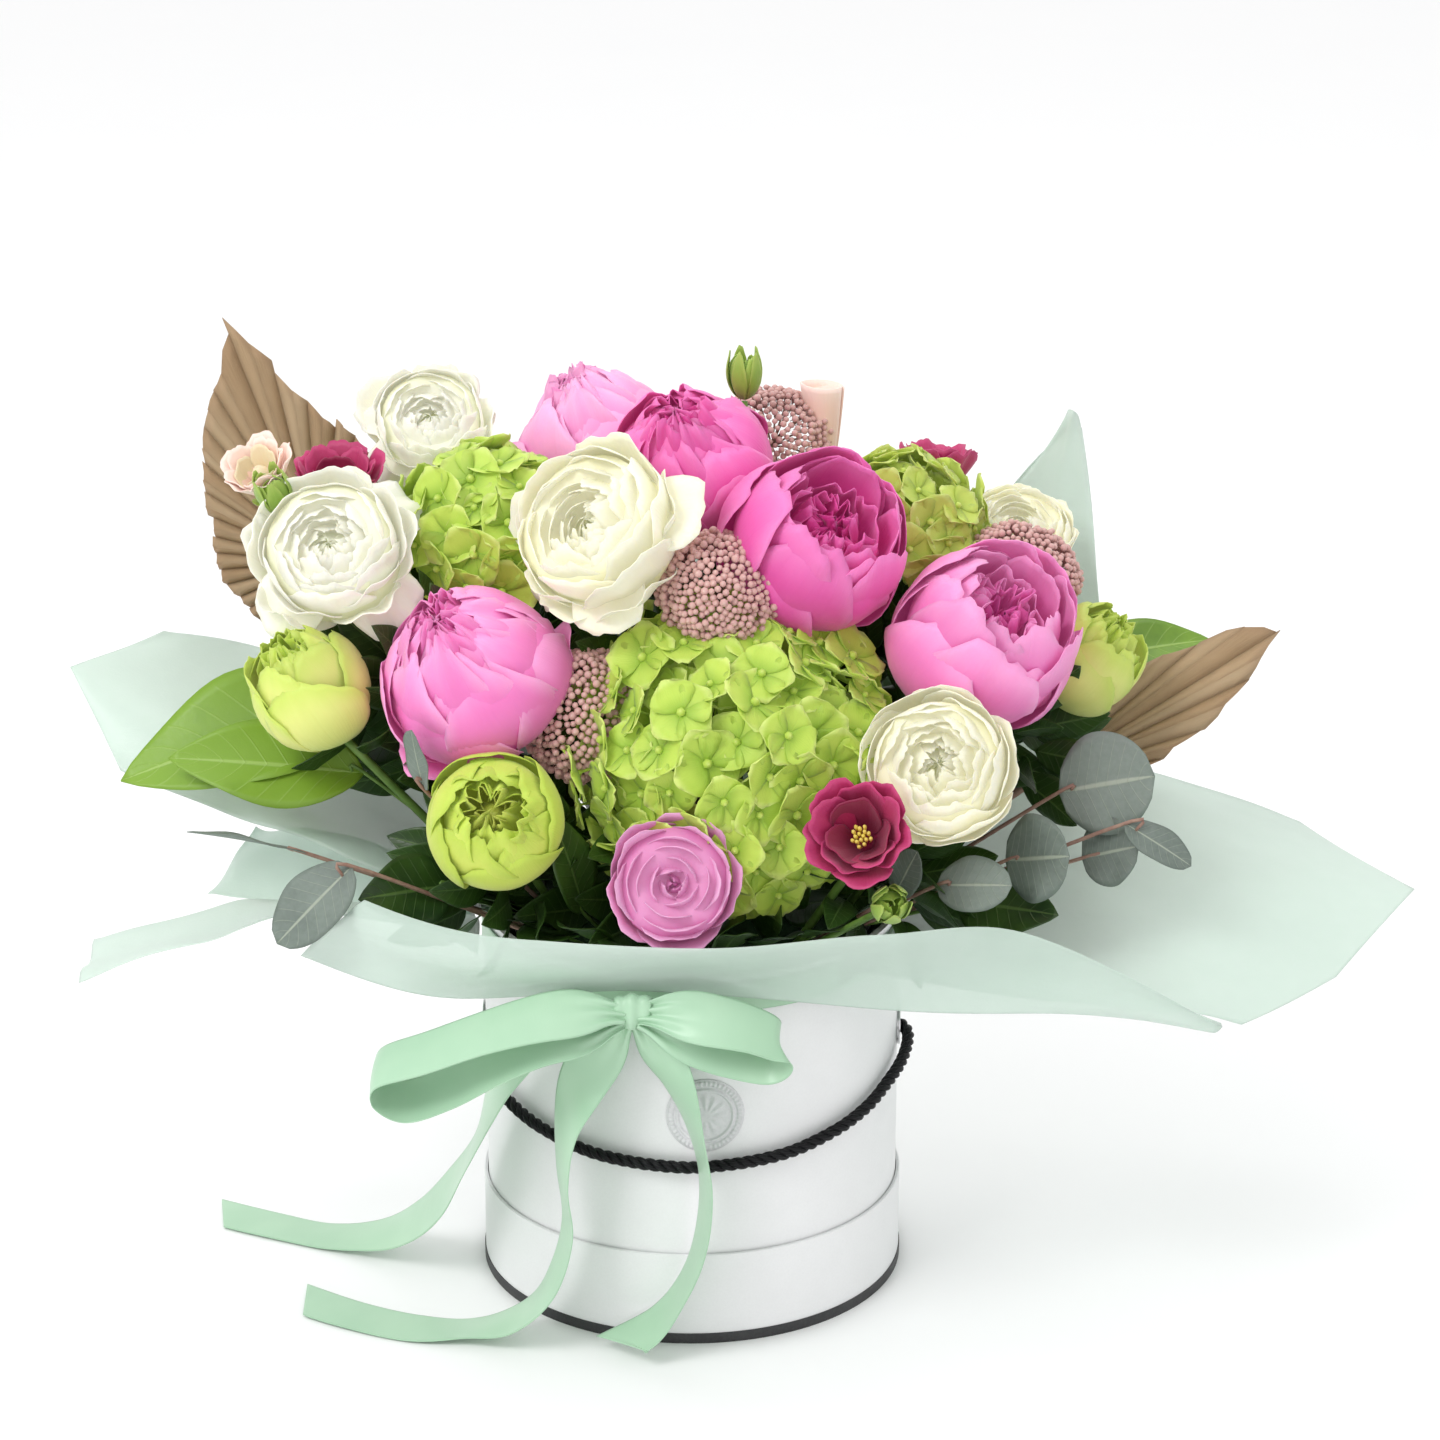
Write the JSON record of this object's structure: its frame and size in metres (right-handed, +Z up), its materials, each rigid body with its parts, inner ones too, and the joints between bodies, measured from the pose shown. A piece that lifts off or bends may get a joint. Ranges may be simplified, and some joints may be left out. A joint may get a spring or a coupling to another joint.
{
  "type": "flower box",
  "caption": "Round white hat box standing in its upturned lid, with a rope handle and satin bow, holding a mixed bouquet wrapped in frosted film.",
  "frame": {"origin": "centre of the underside of the upturned lid, where the part rests", "axes": "+Z up, -Y towards the front with the seal and the bow, +X along the wide spread of the film collar"},
  "size_m": [0.6392, 0.3498, 0.4356],
  "materials": {
    "board_white": "matt white paper-wrapped board",
    "trim_black": "matt black edging tape",
    "seal_paper": "white embossed paper seal",
    "eyelet_metal": "satin nickel eyelet",
    "liner_plastic": "dark matt plastic liner",
    "foam_green": "wet dark green floral foam",
    "rope_black": "twisted black cord",
    "ribbon_mint": "mint satin",
    "film_mint": "frosted translucent mint film",
    "petal_pink": "soft pink petals, hot pink in the folds",
    "petal_ivory": "soft ivory petals, lime in the centre",
    "petal_lime": "lime florets",
    "petal_yellow_green": "pale yellow-green petals with lime edges",
    "petal_mauve": "soft mauve petals",
    "petal_magenta": "deep magenta petals",
    "petal_blush": "soft blush petals",
    "bud_green": "green buds",
    "rice_rose": "tiny rose-cream buds",
    "leaf_bright": "satin bright green leaf",
    "leaf_dark": "satin dark green leaf",
    "leaf_grey": "grey-green bloomed leaf",
    "palm_tan": "dry tan pleated leaf"
  },
  "bodies": {
    "lid": {"lid_disc": "board_white", "lid_band": "board_white", "lid_trim": "trim_black"},
    "box": {"box_wall": "board_white", "box_base": "board_white", "eyelets": "eyelet_metal", "seal_label": "seal_paper", "liner": "liner_plastic", "foam": "foam_green", "ribbon_band": "ribbon_mint", "bow_knot": "ribbon_mint", "bow_loop_left": "ribbon_mint", "bow_loop_right": "ribbon_mint", "ribbon_tail_left": "ribbon_mint", "ribbon_tail_middle": "ribbon_mint", "ribbon_tail_right": "ribbon_mint", "film_front": "film_mint", "film_right": "film_mint", "film_back_right": "film_mint", "film_back": "film_mint", "film_left_back": "film_mint", "film_left_front": "film_mint", "film_left_low": "film_mint", "peony_1": "petal_pink", "peony_2": "petal_pink", "peony_3": "petal_pink", "peony_4": "petal_pink", "peony_5": "petal_pink", "ranunculus_1": "petal_ivory", "ranunculus_2": "petal_ivory", "ranunculus_3": "petal_ivory", "ranunculus_4": "petal_ivory", "ranunculus_5": "petal_ivory", "hydrangea_1": "petal_lime", "hydrangea_2": "petal_lime", "hydrangea_3": "petal_lime", "green_rose_1": "petal_yellow_green", "green_rose_2": "petal_yellow_green", "green_rose_3": "petal_yellow_green", "mauve_rose": "petal_mauve", "lisianthus_1": "petal_magenta", "lisianthus_2": "petal_magenta", "lisianthus_3": "petal_magenta", "blush_lisianthus": "petal_blush", "lisianthus_buds": "bud_green", "blush_calla": "petal_blush", "rice_flower_front": "rice_rose", "rice_flower_back": "rice_rose", "leaf_collar": "leaf_dark", "leaf_sprig_left": "leaf_bright", "leaf_sprig_right": "leaf_bright", "leaf_sprig_front": "leaf_dark", "leaf_sprig_back": "leaf_dark", "eucalyptus_right": "leaf_grey", "eucalyptus_left": "leaf_grey", "eucalyptus_front": "leaf_grey", "palm_left": "palm_tan", "palm_right": "palm_tan"},
    "handle": {"handle_rope": "rope_black", "handle_knots": "rope_black"}
  },
  "joints": [
    {"name": "box_lift", "type": "slide", "parent": "lid", "child": "box", "axis": [0, 0, 1], "range_m": [0, 0.06]},
    {"name": "handle_swing", "type": "hinge", "parent": "box", "child": "handle", "pos_m": [0, 0, 0.12], "axis": [-1, 0, 0], "range_deg": [0, 30]}
  ]
}
